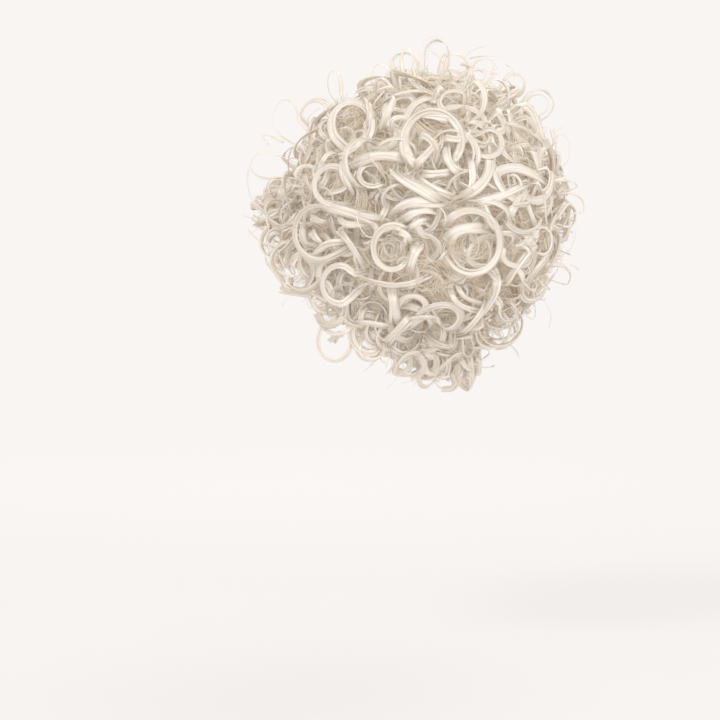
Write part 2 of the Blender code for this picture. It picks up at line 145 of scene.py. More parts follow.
BANDS = (
    # right and up of the start, the middle and the end, ribbon width, layer in mm, free end
    (-141, 73, -160, 80, -155, 69, 4, 0, 0),
    (-118, 90, -115, 99, -104, 107, 3, 0, 0),
    (0, 166, 11, 160, 20, 149, 2.2, 0, 0),
    (39, 151, 46, 163, 65, 169, 1.8, 0, 1),
    (44, 157, 63, 159, 74, 156, 1.8, 0, 1),
    (35, 151, 55, 146, 75, 142, 4, 0, 0),
    (-16, 146, 0, 124, 45, 117, 6.5, 0, 0),
    (-23, 80, -11, 111, 20, 118, 5.5, 0, 0),
    (-10, 97, 10, 98, 35, 89, 6.5, 2, 0),
    (-14, 41, 1, 61, 20, 75, 7, 2, 0),
    (20, 75, 25, 50, 40, 39, 6.5, 3, 0),
    (-7, 39, 12, 41, 31, 42, 7, 3, 0),
    (-79, 51, -47, 60, -13, 55, 8, 2, 0),
    (-25, 64, -15, 57, -8, 49, 6, 2, 0),
    (81, 150, 87, 146, 89, 138, 2.2, 0, 0),
    (78, 137, 84, 133, 89, 126, 3.2, 0, 0),
    (126, 80, 135, 87, 142, 93, 1.8, 0, 1),
    (75, 92, 97, 88, 130, 63, 5.5, 0, 0),
    (126, 86, 130, 70, 125, 57, 4.2, 0, 0),
    (59, 28, 90, 48, 131, 25, 8, 1, 0),
    (-175, 50, -175, 22, -157, -7, 2.6, 0, 0),
    (-185, 1, -172, -3, -165, 0, 1.8, 0, 0),
    (-80, 57, -82, 40, -72, 19, 7, 1, 0),
    (-105, 14, -73, 2, -35, -6, 9, 3, 0),
    (-115, -4, -106, -6, -97, -9, 5, 1, 0),
    (-115, -18, -108, -24, -102, -31, 7, 0, 0),
    (-87, -13, -73, -33, -61, -55, 8, 2, 0),
    (-117, -45, -100, -31, -75, -29, 6, 1, 0),
    (-157, -32, -168, -24, -177, -14, 2.2, 0, 1),
    (-35, -4, -15, 12, 22, 12, 8, 3, 0),
    (-30, -7, -5, 4, 12, 4, 6, 2, 0),
    (-20, -15, -8, -8, 5, -3, 4.5, 1, 0),
    (-32, 45, -5, 27, 25, 12, 9, 4, 0),
    (-11, 37, 8, 27, 31, 15, 6, 3, 0),
    (61, 67, 60, 36, 25, 15, 7.5, 3, 0),
    (45, 65, 48, 36, 40, 18, 5.5, 1, 0),
    (32, 63, 31, 56, 31, 50, 4.5, 0, 0),
    (-32, -13, -19, -20, -15, -29, 6, 2, 0),
    (-7, -27, -12, -43, -17, -60, 8, 2, 0),
    (19, -25, 36, -15, 65, -11, 9, 4, 0),
    (40, 11, 75, 19, 106, 36, 8, 2, 0),
    (100, 27, 91, 9, 83, -9, 6.5, 2, 0),
    (135, -41, 147, -31, 151, -13, 2, 0, 1),
    (145, -50, 150, -52, 154, -56, 2.2, 0, 1),
    (-145, -73, -97, -88, -75, -119, 7, 1, 0),
    (-95, -127, -89, -121, -83, -117, 6, 2, 0),
    (-65, -62, -30, -71, 7, -61, 5, 3, 0),
    (-32, -68, -30, -95, -27, -111, 8, 1, 0),
    (-75, -109, -55, -109, -32, -116, 6, 2, 0),
    (-55, -142, -30, -118, -10, -95, 8, 2, 0),
    (-25, -115, -5, -105, 13, -104, 8, 0, 0),
    (66, -55, 69, -82, 40, -116, 7, 1, 0),
    (27, -70, 35, -89, 63, -95, 4.5, 2, 0),
    (33, -66, 42, -83, 66, -88, 4, 2, 0),
    (-3, -125, 11, -131, 25, -135, 5.5, 1, 0),
    (5, -135, 18, -140, 31, -142, 5, 1, 0),
    (-43, -136, -32, -141, -22, -145, 6, 1, 0),
    (55, -122, 81, -127, 95, -144, 2.6, 0, 1),
    (54, -132, 64, -137, 56, -145, 3, 0, 1),
    (40, -146, 60, -152, 70, -150, 3, 0, 1),
    (36, -157, 42, -155, 48, -153, 2.6, 0, 1),
    (32, -160, 35, -168, 36, -175, 1.8, 0, 1),
    (110, -78, 124, -95, 123, -113, 1.8, 0, 1),
    (108, -79, 109, -103, 97, -95, 2.6, 0, 0),
    (-4, -137, 3, -157, 15, -166, 4.5, 0, 1),
)

# The hair mass leaves the ball below this angle and hangs over the scalp.
BALL_END = 112
HEM = (
    # degrees from the seat's axis about the head's middle, distance from the head in mm
    (53, 12),
    (57, 10.5),
    (61, 7.5),
    (64, 2.5),
)
CAP_EDGE = 39
LINING_DEPTH = 2.2 * MM
INNER_RADIUS = 78 * MM
TURNS = np.linspace(0, 2 * pi, 128, endpoint=False)
LEVEL = np.stack((np.sin(TURNS), -np.cos(TURNS), np.zeros(128)), axis=1)

# Places in the show view where a nest of fine hair lies inside a curl.
SHOW_NESTS = (
    (8, 75),
    (46, -28),
    (-33, -34),
    (-73, 90),
    (-107, -17),
    (-92, 30),
    (-85, -69),
    (92, -39),
    (15, -104),
    (98, 5),
    (-20, 45),
    (75, 60),
    (100, 95),
    (-40, -80),
    (55, -85),
    (0, -60),
    (70, 15),
    (40, 110),
)

FEATURE_STATIONS = 36
FILL_STATIONS = 25
FILL_COUNT = 470
HEM_COUNT = 190
STRAY_COUNT = 70
COMBED_COUNT = 90
COMBED_HAIRS = 11
NEST_COUNT = 75
# Degrees from the knot's axis out to which nests and loose hair are spread.
NEST_SPREAD = 112
FRIZZ_SPREAD = 138
NEST_HAIRS = 11
FRIZZ_COUNT = 2000
FRIZZ_STATIONS = 10
ROOT_HAIR_COUNT = 220
# Degrees from the seat's axis about the head's middle, close to the hem's rim.
ROOT_HAIR_START = 63
FRIZZ_RADIUS = 0.2 * MM
# Rings and bands are shown this much wider than their ribbon widths in the tables.
RIBBON_SPREAD = 1.2
GOLDEN_TURN = pi * (3 - sqrt(5))


def unit(vectors):
    """Vectors scaled to length 1 along their last axis."""
    return vectors / np.maximum(np.linalg.norm(vectors, axis=-1, keepdims=True), 1e-9)


def smooth(share):
    """Share from 0 to 1, eased at both ends."""
    share = np.clip(share, 0, 1)
    return share * share * (3 - 2 * share)


def show_axes():
    """Right, up and outward of the show view."""
    right = np.array((cos(SHOW_AZIMUTH), sin(SHOW_AZIMUTH), 0))
    out = np.array((
        sin(SHOW_AZIMUTH) * cos(SHOW_ELEVATION),
        -cos(SHOW_AZIMUTH) * cos(SHOW_ELEVATION),
        sin(SHOW_ELEVATION),
    ))
    return right, np.cross(out, right), out


RIGHT, UP, OUT = show_axes()


def polar_angle(spokes):
    """Angle of each spoke from the knot's middle to the knot's axis."""
    return np.arccos(np.clip(unit(spokes) @ KNOT_AXIS, -1, 1))


def squeeze_at(angle):
    """How much narrower the knot is across the head: round above, as narrow as the head below."""
    share = smooth((angle - SQUEEZE_FROM) / (SQUEEZE_TO - SQUEEZE_FROM))
    return 1 + (HEAD_SQUEEZE - 1) * share


def to_scalp(points):
    """Points measured from the head's middle, with the head made round."""
    return (points @ SEAT) / HEAD_SHAPE + HEAD_DROP


def off_scalp(points, clearance):
    """Points moved straight out from the head's middle until they clear the scalp."""
    scalp = to_scalp(points)
    reach = np.linalg.norm(scalp, axis=-1, keepdims=True)
    scalp *= np.maximum(1, (HEAD_RADIUS + np.reshape(clearance, (-1, 1))) / reach)
    return ((scalp - HEAD_DROP) * HEAD_SHAPE) @ SEAT.T


def placed(spokes, clearance):
    """Points of the knot for spokes from its middle, narrowed and kept off the scalp below."""
    spokes = spokes.copy()
    spokes[..., 0] *= squeeze_at(polar_angle(spokes))
    return off_scalp(KNOT_MIDDLE + spokes, clearance)


def scalp_depth(across, upward, clearance):
    """Depth towards the show view at which a point just clears the scalp."""
    points = to_scalp(KNOT_MIDDLE + np.outer(across, RIGHT) + np.outer(upward, UP))
    way = (OUT @ SEAT) / HEAD_SHAPE
    half = points @ way / (way @ way)
    inside = half ** 2 - ((points ** 2).sum(axis=1) - (HEAD_RADIUS + clearance) ** 2) / (way @ way)
    return np.where(inside > 0, np.sqrt(np.maximum(inside, 0)) - half, -1)


def seen(right, up, depths):
    """Spokes that the show camera sees at these steps to the right of and above the middle."""
    nearer = 1 - depths / CAMERA_DISTANCE
    across = (right + AIM_RIGHT * STEP) * nearer - AIM_RIGHT * STEP
    upward = (up + AIM_UP * STEP) * nearer - AIM_UP * STEP
    return np.outer(across, RIGHT) + np.outer(upward, UP) + np.outer(depths, OUT)


def seen_depth(right, up, reach):
    """Depth at which a ball of that reach is met there in the show view."""
    return np.array([sqrt(max(reach ** 2 - right ** 2 - up ** 2, 0))])


def sink(spokes, share, root=ROOT_RADIUS, part=0.2):
    """Draw both ends of a lock down to its root."""
    nearness = 1 - smooth(np.minimum(share, 1 - share) / part)
    reach = np.linalg.norm(spokes, axis=-1)
    new_reach = reach + (np.minimum(root, reach) - reach) * nearness
    return spokes * (new_reach / reach)[:, None]


def hoop_path(row):
    """A ring that faces the show view and leans with the ball."""
    right, up, half_width, half_height = (value * STEP for value in row[:4])
    turn, start, sweep = (radians(value) for value in row[4:7])
    reach = HOOP_RADIUS + row[8] * MM
    away = sqrt(right * right + up * up)
    depth = sqrt(max(reach * reach - away * away, 0))
    slope = min(away / max(depth, MM), 0.8)
    share = np.linspace(0, 1, FEATURE_STATIONS)
    angle = start + sweep * share
    fade = 1 - 0.12 * share
    x = half_width * np.cos(angle) * fade
    y = half_height * np.sin(angle) * fade
    x, y = x * cos(turn) - y * sin(turn), x * sin(turn) + y * cos(turn)
    beyond = (x * right + y * up) / max(away, MM)
    depths = depth - slope * beyond
    depths = np.maximum(depths, scalp_depth(right + x, up + y, 12 * MM))
    return off_scalp(KNOT_MIDDLE + sink(seen(right + x, up + y, depths), share, part=0.13), 2 * MM)


def band_path(row):
    """A band that climbs out of the hair, bows over and goes back in, or ends in a free tip."""
    points = np.array(row[:6]).reshape(3, 2) * STEP
    share = np.linspace(0, 1, FEATURE_STATIONS)
    middle = 4 * share * (1 - share)
    weights = np.stack((2 * (share - 0.5) * (share - 1), middle, 2 * share * (share - 0.5)))
    across, upward = points.T @ weights
    ends = np.where(share < 0.5, 1, 0 if row[8] else 1)
    top = BAND_RADIUS + row[7] * MM
    reach = top - (top - ROOT_RADIUS) * ends * (1 - np.sin(pi * share)) ** 2.2
    away = across ** 2 + upward ** 2
    depths = np.sqrt(np.maximum(reach ** 2 - away, 0))
    depths = np.maximum(depths, np.sqrt(np.maximum(top ** 2 - away, 0)) - BAND_SINK)
    bow = 12 * MM - 8 * MM * ends * (1 - np.sin(pi * share)) ** 2
    depths = np.maximum(depths, scalp_depth(across, upward, bow))
    return off_scalp(KNOT_MIDDLE + seen(across, upward, depths), 2 * MM)


def direction(index, count, widest):
    """Evenly spread directions from the knot's axis out to the widest angle."""
    covered = (1 - cos(radians(widest))) / 2
    angle = 2 * np.arcsin(sqrt(covered * (index + 0.5) / count))
    turn = GOLDEN_TURN * index
    return SEAT @ np.array((sin(angle) * sin(turn), -sin(angle) * cos(turn), cos(angle)))


def curl_spokes(out, height, radius, lean, sweep, root, part):
    """A curl that faces outwards: a leaning hoop, an arc or more than one turn."""
    heading = rng.uniform(0, 2 * pi)
    side = unit(np.cross(out, (0.3, 0.5, 0.81)))
    along = side * cos(heading) + np.cross(out, side) * sin(heading)
    rise = np.cross(along, out) * cos(lean) + out * sin(lean)
    share = np.linspace(0, 1, FILL_STATIONS)
    turns = radians(sweep) * share + rng.uniform(0, 2 * pi)
    shrink = 1 - rng.uniform(0, 0.35) * share
    oval = rng.uniform(0.7, 1.15)
    spokes = (
        out * height
        + np.outer(np.sin(turns) * radius * shrink, along)
        - np.outer(np.cos(turns) * radius * shrink * oval, rise)
        + np.outer((share - 0.5) * rng.normal(0, 5) * MM, np.cross(along, rise))
    )
    return sink(spokes, share, root, part)


def fill_path(index):
    """One of the curls that fill the whole knot, flatter and deeper where the show curls lie."""
    out = unit(direction(index, FILL_COUNT, 136) + rng.normal(0, 0.04, 3))
    facing_show = max(out @ OUT, 0)
    height = rng.uniform(95, 108 - 6 * facing_show) * MM
    sweep = rng.choice([230, 280, 330, 420]) * rng.choice([-1, 1])
    lean = radians(rng.uniform(0, 70))
    spokes = curl_spokes(out, height, rng.uniform(9, 19) * MM, lean, sweep, ROOT_RADIUS, 0.18)
    return placed(spokes, rng.uniform(3, 12) * MM)


def stray_path(index):
    """One of the thin loops that stand out of the knot all round."""
    out = unit(direction(index, STRAY_COUNT, 125) + rng.normal(0, 0.1, 3))
    height = rng.uniform(104, 111) * MM
    sweep = rng.choice([180, 240, 320]) * rng.choice([-1, 1])
    lean = radians(rng.uniform(20, 90))
    spokes = curl_spokes(out, height, rng.uniform(6, 13) * MM, lean, sweep, ROOT_RADIUS, 0.15)
    return placed(spokes, 6 * MM)


def hem_way(index):
    """Direction from the middle of the rounded head to the hair that hangs round its crown."""
    angle = radians(rng.uniform(49, 66))
    turn = GOLDEN_TURN * index
    if index % 4 == 0:
        turn = radians(rng.uniform(20, 160))
    return np.array((sin(angle) * sin(turn), -sin(angle) * cos(turn), cos(angle)))


def hem_placed(spokes):
    """Points for spokes from the middle of the rounded head, given in the seat's own frame."""
    reach = np.linalg.norm(spokes, axis=1)
    spokes = spokes * np.minimum(1, (HEAD_RADIUS + 22 * MM) / reach)[:, None]
    return off_scalp(((spokes - HEAD_DROP) * HEAD_SHAPE) @ SEAT.T, 2.5 * MM)


def hem_path(index):
    """One of the curls that hang over the scalp below the ball."""
    height = HEAD_RADIUS + rng.uniform(12, 17) * MM
    sweep = rng.choice([200, 260, 320]) * rng.choice([-1, 1])
    lean = radians(rng.uniform(0, 40))
    radius = rng.uniform(8, 17) * MM
    root = HEAD_RADIUS + 8 * MM
    return hem_placed(curl_spokes(hem_way(index), height, radius, lean, sweep, root, 0.2))


def ribbon_frame(points, lean, twist):
    """Side and flat directions of a ribbon that lies on the knot halfway, with a lean and a twist."""
    tangents = unit(np.gradient(points, axis=0))
    count = len(points)
    middle = count // 2
    sides = np.zeros_like(points)
    sides[middle] = unit(np.cross(tangents[middle], points[middle] - KNOT_MIDDLE))
    for index in range(middle + 1, count):
        nearer = sides[index - 1]
        sides[index] = unit(nearer - tangents[index] * (nearer @ tangents[index]))
    for index in range(middle - 1, -1, -1):
        nearer = sides[index + 1]
        sides[index] = unit(nearer - tangents[index] * (nearer @ tangents[index]))
    flats = np.cross(sides, tangents)
    angle = (lean + twist * np.linspace(-0.5, 0.5, count))[:, None]
    return sides * np.cos(angle) + flats * np.sin(angle), flats * np.cos(angle) - sides * np.sin(angle)


def lock_strands(points, width, lean, twist, tone):
    """The flat ribbons and the fine hairs that make up one curl."""
    count = len(points)
    sides, flats = ribbon_frame(points, lean, twist)
    share = np.linspace(0, 1, count)
    taper = smooth(share / 0.08 + 0.35) * (1 - 0.7 * smooth((share - 0.84) / 0.16))
    taper = taper * (1 - rng.uniform(0.1, 0.4) * share)
    strands = []
    for main in (True, False) if width > 3.2 * MM else (True,):
        part = 0.5 if main else rng.uniform(0.2, 0.3)
        offset = 0 if main else rng.choice([-1, 1]) * rng.uniform(0.15, 0.4)
        away = 0 if main else 0.35 * smooth(np.abs(share - rng.uniform(0.35, 0.65)) * 1.6)
        across = (offset + np.sign(offset) * away + 0.04 * np.sin(share * rng.uniform(3, 9))) * width
        proud = 0 * share if main else (0.35 + 0.5 * np.sin(share * rng.uniform(3, 7) + offset * 9)) * MM
        path = points + sides * across[:, None] + flats * proud[:, None]
        wobble = 1 + 0.09 * np.sin(share * rng.uniform(8, 20) + rng.uniform(0, 6))
        turn = -1.6 * offset + 0 * share
        side = sides * np.cos(turn)[:, None] + flats * np.sin(turn)[:, None]
        flat = flats * np.cos(turn)[:, None] - sides * np.sin(turn)[:, None]
        half_width = part * width * taper * wobble
        half_thick = (0.22 * MM + 0.05 * width) * (0.4 + 0.6 * taper)
        strands.append(("ribbon", path, side, flat, half_width, half_thick, tone + rng.normal(0, 0.05)))
    for _ in range(3 if width > 3 * MM else 1):
        wander = rng.normal(0, 1.0, 2) * MM
        away = np.abs(share - rng.uniform(0.3, 0.7))[:, None] * 2
        start = rng.uniform(-0.55, 0.55) * width
        path = points + sides * (start + wander[0] * away) + flats * (wander[1] * away + 0.5 * MM)
        thin = rng.uniform(0.12, 0.22) * MM
        strands.append(("hair", path[::2], sides[::2], flats[::2], thin, thin, tone + rng.normal(0, 0.1)))
    return strands


def nest_strands(middle, radius, tone):
    """Fine hairs coiled into a shallow nest, as they lie inside a curl."""
    out = unit(middle)
    side = unit(np.cross(out, rng.normal(size=3)))
    other = np.cross(out, side)
    share = np.linspace(0, 1, FILL_STATIONS)
    strands = []
    for _ in range(NEST_HAIRS):
        turns = rng.choice([-1, 1]) * rng.uniform(4, 9) * share + rng.uniform(0, 2 * pi)
        reach = radius * (rng.uniform(0.15, 0.5) + rng.uniform(0.2, 0.55) * share)
        shift = rng.normal(0, 0.1, 2) * radius
        rise = reach * rng.uniform(0.1, 0.45) + rng.normal(0, 1) * MM
        spokes = middle + np.outer(np.cos(turns) * reach + shift[0], side)
        spokes += np.outer(np.sin(turns) * reach * rng.uniform(0.7, 1) + shift[1], other)
        spokes += np.outer(rise, out)
        points = placed(spokes, rng.uniform(3, 9) * MM)
        tangents = unit(np.gradient(points, axis=0))
        sides = unit(np.cross(tangents, out))
        thin = FRIZZ_RADIUS * rng.uniform(0.8, 1.4)
        flats = np.cross(sides, tangents)
        strands.append(("hair", points, sides, flats, thin, thin, tone + rng.normal(0, 0.15)))
    return strands


def combed_strands(points, width, tone):
    """Fine hairs that lie side by side in a loose flat curl."""
    count = len(points)
    sides, flats = ribbon_frame(points, rng.uniform(-0.8, 0.8), rng.normal(0, 0.5))
    share = np.linspace(0, 1, count)
    strands = []
    for _ in range(COMBED_HAIRS):
        wave = 0.12 * np.sin(share * rng.uniform(2, 7) + rng.uniform(0, 6))
        across = (rng.uniform(-0.5, 0.5) + wave) * width
        proud = rng.uniform(-1.4, 1.4) * MM + 2 * MM * wave
        path = points + sides * across[:, None] + flats * proud[:, None]
        thin = FRIZZ_RADIUS * rng.uniform(0.9, 1.5)
        strands.append(("hair", path, sides, flats, thin, thin, tone + rng.normal(0, 0.15)))
    return strands


SECTIONS = {
    # corners round a strand: part of the half width, part of the half thickness, place across
    "ribbon": (
        (-1, -0.4, 0),
        (-0.45, 0.6, 0.28),
        (0.45, 0.6, 0.72),
        (1, -0.4, 1),
        (0, -0.6, 0.5),
    ),
    "hair": (
        (1, 0, 0.5),
        (-0.5, 0.87, 0.5),
        (-0.5, -0.87, 0.5),
    ),
}


def strand_mesh(name, strands):
    """One joined mesh of closed strands, with a tone and a place across and along each."""
    groups = {}
    for strand in strands:
        groups.setdefault((strand[0], len(strand[1])), []).append(strand)
    points, tones, places, faces, sizes = [], [], [], [], []
    used = 0
    for (section, stations), members in groups.items():
        shape = np.array(SECTIONS[section])
        corners = len(shape)
        paths, sides, flats = (np.stack([strand[part] for strand in members]) for part in (1, 2, 3))
        widths, thicks = (
            np.stack([np.broadcast_to(strand[part], stations) for strand in members])[..., None, None]
            for part in (4, 5)
        )
        rings = paths[:, :, None] + sides[:, :, None] * widths * shape[:, :1]
        rings = rings + flats[:, :, None] * thicks * shape[:, 1:2]
        points.append(rings.reshape(-1, 3))
        tones.append(np.repeat([strand[6] for strand in members], stations * corners))
        steps = np.linalg.norm(np.diff(paths, axis=1), axis=2)
        none_yet = np.zeros((len(members), 1))
        along = np.concatenate((none_yet, np.cumsum(steps, axis=1)), axis=1)[..., None]
        seeds = rng.uniform(0, 50, (len(members), 1, 1))
        across = seeds + shape[:, 2] * widths[..., 0] * 2 / MM
        along = np.broadcast_to(along / MM, across.shape)
        places.append(np.stack((across, along), axis=-1).reshape(-1, 2))
        first = used + np.arange(len(members))[:, None, None] * stations * corners
        first = first + np.arange(stations - 1)[:, None] * corners
        corner = np.arange(corners)
        after = (corner + 1) % corners
        following = first + corners
        walls = (first + corner, following + corner, following + after, first + after)
        walls = np.stack(walls, axis=-1)
        faces.append(walls.reshape(-1))
        sizes.append(np.full(walls.size // 4, 4))
        starts = used + np.arange(len(members))[:, None] * stations * corners
        ends = np.concatenate((starts + corner, starts + (stations - 1) * corners + corner[::-1]))
        faces.append(ends.reshape(-1))
        sizes.append(np.full(len(ends), corners))
        used += len(members) * stations * corners
    points, tones, places = (np.concatenate(part) for part in (points, tones, places))
    faces, sizes = np.concatenate(faces), np.concatenate(sizes)
    mesh = bpy.data.meshes.new(name)
    mesh.vertices.add(len(points))
    mesh.vertices.foreach_set("co", points.reshape(-1))
    mesh.loops.add(len(faces))
    mesh.loops.foreach_set("vertex_index", faces)
    mesh.polygons.add(len(sizes))
    mesh.polygons.foreach_set("loop_start", np.cumsum(sizes) - sizes)
    mesh.update(calc_edges=True)
    mesh.attributes.new("tone", "FLOAT", "POINT").data.foreach_set("value", tones)
    mesh.uv_layers.new(name="fibres").data.foreach_set("uv", places[faces].reshape(-1))
    mesh.shade_smooth()
    return mesh


def add_piece(name, mesh, finish, slot, *replaced):
    """A new piece that rides on the root and stands for its CAD nodes."""
    piece = bpy.data.objects.new(name, mesh)
    bpy.context.scene.collection.objects.link(piece)
    mesh.materials.append(finish)
    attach(piece, "root")
    if replaced:
        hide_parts(*replaced)
    return piece


def tier_of(points):
    """Name of the tier that a lock belongs to."""
    angle = np.degrees(polar_angle((points - KNOT_MIDDLE).mean(axis=0)))
    return next(name for name, edge in TIERS if angle < edge)


def kept_near(points):
    """A lock moved, if it has to be, into the room for stray hair round the solid pieces."""
    lowest, highest = (np.array(corner) for corner in cad_box)
    below = np.maximum(lowest - STRAY_ROOM - points.min(axis=0), 0)
    above = np.maximum(points.max(axis=0) - highest - STRAY_ROOM, 0)
    return points + below - above


def all_curls():
    """Strands of every curl, by tier and side of the knot."""
    bundles = {}
    wider = RIBBON_SPREAD * STEP
    locks = [(hoop_path(row), row[7] * wider, rng.uniform(-0.5, 0.5), 0.65) for row in HOOPS]
    locks += [(band_path(row), row[6] * wider, rng.uniform(-0.3, 0.3), 0.65) for row in BANDS]
    for index in range(FILL_COUNT):
        locks.append((fill_path(index), rng.uniform(2.4, 7) * MM, rng.uniform(-1.1, 1.1), 0.58))
    for index in range(HEM_COUNT):
        locks.append((hem_path(index), rng.uniform(2.6, 6.5) * MM, rng.uniform(-0.8, 0.8), 0.58))
    for index in range(STRAY_COUNT):
        locks.append((stray_path(index), rng.uniform(1, 2.8) * MM, rng.uniform(-1.2, 1.2), 0.5))
    for points, width, lean, tone in locks:
        side = "left" if points[:, 0].mean() > 0 else "right"
        end = "back" if points[:, 1].mean() > KNOT_MIDDLE[1] else "front"
        key = f"{tier_of(points)}_{side}_{end}_curls"
        points = kept_near(points)
        strands = lock_strands(points, width, lean, rng.normal(0, 1), tone + rng.uniform(-0.15, 0.15))
        bundles.setdefault(key, []).extend(strands)
    return bundles


def root_hair(index):
    """A hair that lies under the hem, on the side towards the scalp, from the rim to the cap."""
    share = np.linspace(0, 1, FRIZZ_STATIONS)
    angles = np.radians(ROOT_HAIR_START - rng.uniform(12, 24) * share)
    turns = GOLDEN_TURN * index + rng.normal(0, 0.25) * share + 0.04 * np.sin(rng.uniform(3, 8) * share)
    across, forward = np.sin(angles) * np.sin(turns), -np.sin(angles) * np.cos(turns)
    ways = np.stack((across, forward, np.cos(angles)), axis=1)
    spokes = ways * (HEAD_RADIUS + HEAD_CLEARANCE)
    points = ((spokes - HEAD_DROP) * HEAD_SHAPE) @ SEAT.T
    sides = unit(np.cross(np.gradient(points, axis=0), ways @ SEAT.T))
    thin = 2.2 * FRIZZ_RADIUS
    return "hair", points, sides, ways @ SEAT.T, thin, FRIZZ_RADIUS, rng.uniform(0.2, 0.8)


def frizz_strands():
    """Fine loose hairs between the curls, by tier: some cross at all angles, some lie combed."""
    bundles = {name: [] for name, _ in TIERS}
    share = np.linspace(0, 1, FRIZZ_STATIONS)
    for index in range(FRIZZ_COUNT):
        hem = index % 8 == 0
        out = hem_way(index) if hem else unit(direction(index, FRIZZ_COUNT, FRIZZ_SPREAD))
        along = unit(np.cross(out, rng.normal(size=3)))
        across = np.cross(out, along)
        radius = rng.uniform(7, 22) * MM
        turns = rng.uniform(1, 3.4) * (share - 0.5)
        if hem:
            height = HEAD_RADIUS + rng.uniform(7, 12) * MM
        else:
            height = rng.uniform(90, 105) * MM
        spokes = out * height + np.outer(np.sin(turns) * radius, along + rng.normal(0, 0.35) * out)
        spokes += np.outer((1 - np.cos(turns)) * radius, across)
        limit = HEAD_RADIUS + 15 * MM if hem else 109 * MM
        spokes *= np.minimum(1, limit / np.linalg.norm(spokes, axis=1))[:, None]
        if index % 3:
            spokes = sink(spokes, share, HEAD_RADIUS + 3 * MM if hem else ROOT_RADIUS, 0.25)
        points = kept_near(hem_placed(spokes) if hem else placed(spokes, rng.uniform(2, 11) * MM))
        tangents = unit(np.gradient(points, axis=0))
        sides = unit(np.cross(tangents, points - KNOT_MIDDLE))
        thin = FRIZZ_RADIUS * rng.uniform(0.7, 1.3)
        strand = ("hair", points, sides, np.cross(sides, tangents), thin, thin, rng.uniform(0.1, 0.7))
        bundles[tier_of(points)].append(strand)
    for index in range(COMBED_COUNT):
        out = unit(direction(index, COMBED_COUNT, FRIZZ_SPREAD) + rng.normal(0, 0.05, 3))
        height = rng.uniform(91, 100) * MM
        radius = rng.uniform(8, 18) * MM
        lean = radians(rng.uniform(0, 45))
        spokes = curl_spokes(out, height, radius, lean, rng.choice([-300, 300]), ROOT_RADIUS, 0.2)
        points = placed(spokes, rng.uniform(3, 10) * MM)
        width = rng.uniform(5, 11) * MM
        bundles[tier_of(points)].extend(combed_strands(points, width, rng.uniform(0.3, 0.6)))
    for index in range(ROOT_HAIR_COUNT):
        bundles["lower"].append(root_hair(index))
    nests = [seen(*place, seen_depth(*place, 98 * MM))[0] for place in np.array(SHOW_NESTS) * STEP]
    for index in range(NEST_COUNT):
        nests.append(direction(index, NEST_COUNT, NEST_SPREAD) * rng.uniform(92, 98) * MM)
    for middle in nests:
        strands = nest_strands(middle, rng.uniform(13, 21) * MM, rng.uniform(0.3, 0.6))
        bundles[tier_of(strands[0][1])].extend(strands)
    return bundles


def add_node(tree, kind, **values):
    """A new node with the given input values, named as its sockets are, spaces as underscores."""
    node = tree.nodes.new(kind)
    for key, value in values.items():
        node.inputs[key.replace("_", " ")].default_value = value
    return node


def hair_material(name, dark, pale, roughness, streak):
    """Satin synthetic hair: each strand has its tone, with fine streaks and grooves along it."""
    made = bpy.data.materials.new(name)
    made.use_nodes = True
    tree = made.node_tree
    links = tree.links
    shader = tree.nodes["Principled BSDF"]
    tone = tree.nodes.new("ShaderNodeAttribute")
    tone.attribute_name = "tone"
    place = tree.nodes.new("ShaderNodeUVMap")
    place.uv_map = "fibres"
    stretched = add_node(tree, "ShaderNodeMapping", Scale=(1.5, 0.035, 1))
    links.new(place.outputs["UV"], stretched.inputs["Vector"])
    noise = add_node(tree, "ShaderNodeTexNoise", Scale=1.0, Detail=3.0, Roughness=0.6)
    links.new(stretched.outputs["Vector"], noise.inputs["Vector"])
    evened = tree.nodes.new("ShaderNodeMath")
    evened.operation = "SUBTRACT"
    evened.inputs[1].default_value = 0.5
    links.new(noise.outputs["Fac"], evened.inputs[0])
    total = tree.nodes.new("ShaderNodeMath")
    total.operation = "MULTIPLY_ADD"
    total.inputs[1].default_value = streak
    links.new(evened.outputs["Value"], total.inputs[0])
    links.new(tone.outputs["Fac"], total.inputs[2])
    ramp = tree.nodes.new("ShaderNodeValToRGB")
    ramp.color_ramp.elements[0].position = 0.1
    ramp.color_ramp.elements[0].color = (*dark, 1)
    ramp.color_ramp.elements[1].position = 0.8
    ramp.color_ramp.elements[1].color = (*pale, 1)
    links.new(total.outputs["Value"], ramp.inputs["Fac"])
    links.new(ramp.outputs["Color"], shader.inputs["Base Color"])
    bump = add_node(tree, "ShaderNodeBump", Strength=0.8, Distance=0.5 * MM)
    links.new(noise.outputs["Fac"], bump.inputs["Height"])
    links.new(bump.outputs["Normal"], shader.inputs["Normal"])
    shader.inputs["Roughness"].default_value = roughness
    shader.inputs["Metallic"].default_value = 0.25
    shader.inputs["Specular IOR Level"].default_value = 0.6
    glow = tree.nodes.new("ShaderNodeBsdfTranslucent")
    links.new(ramp.outputs["Color"], glow.inputs["Color"])
    mix = tree.nodes.new("ShaderNodeMixShader")
    mix.inputs[0].default_value = 0.32
    links.new(shader.outputs["BSDF"], mix.inputs[1])
    links.new(glow.outputs["BSDF"], mix.inputs[2])
    links.new(mix.outputs["Shader"], tree.nodes["Material Output"].inputs["Surface"])
    return made


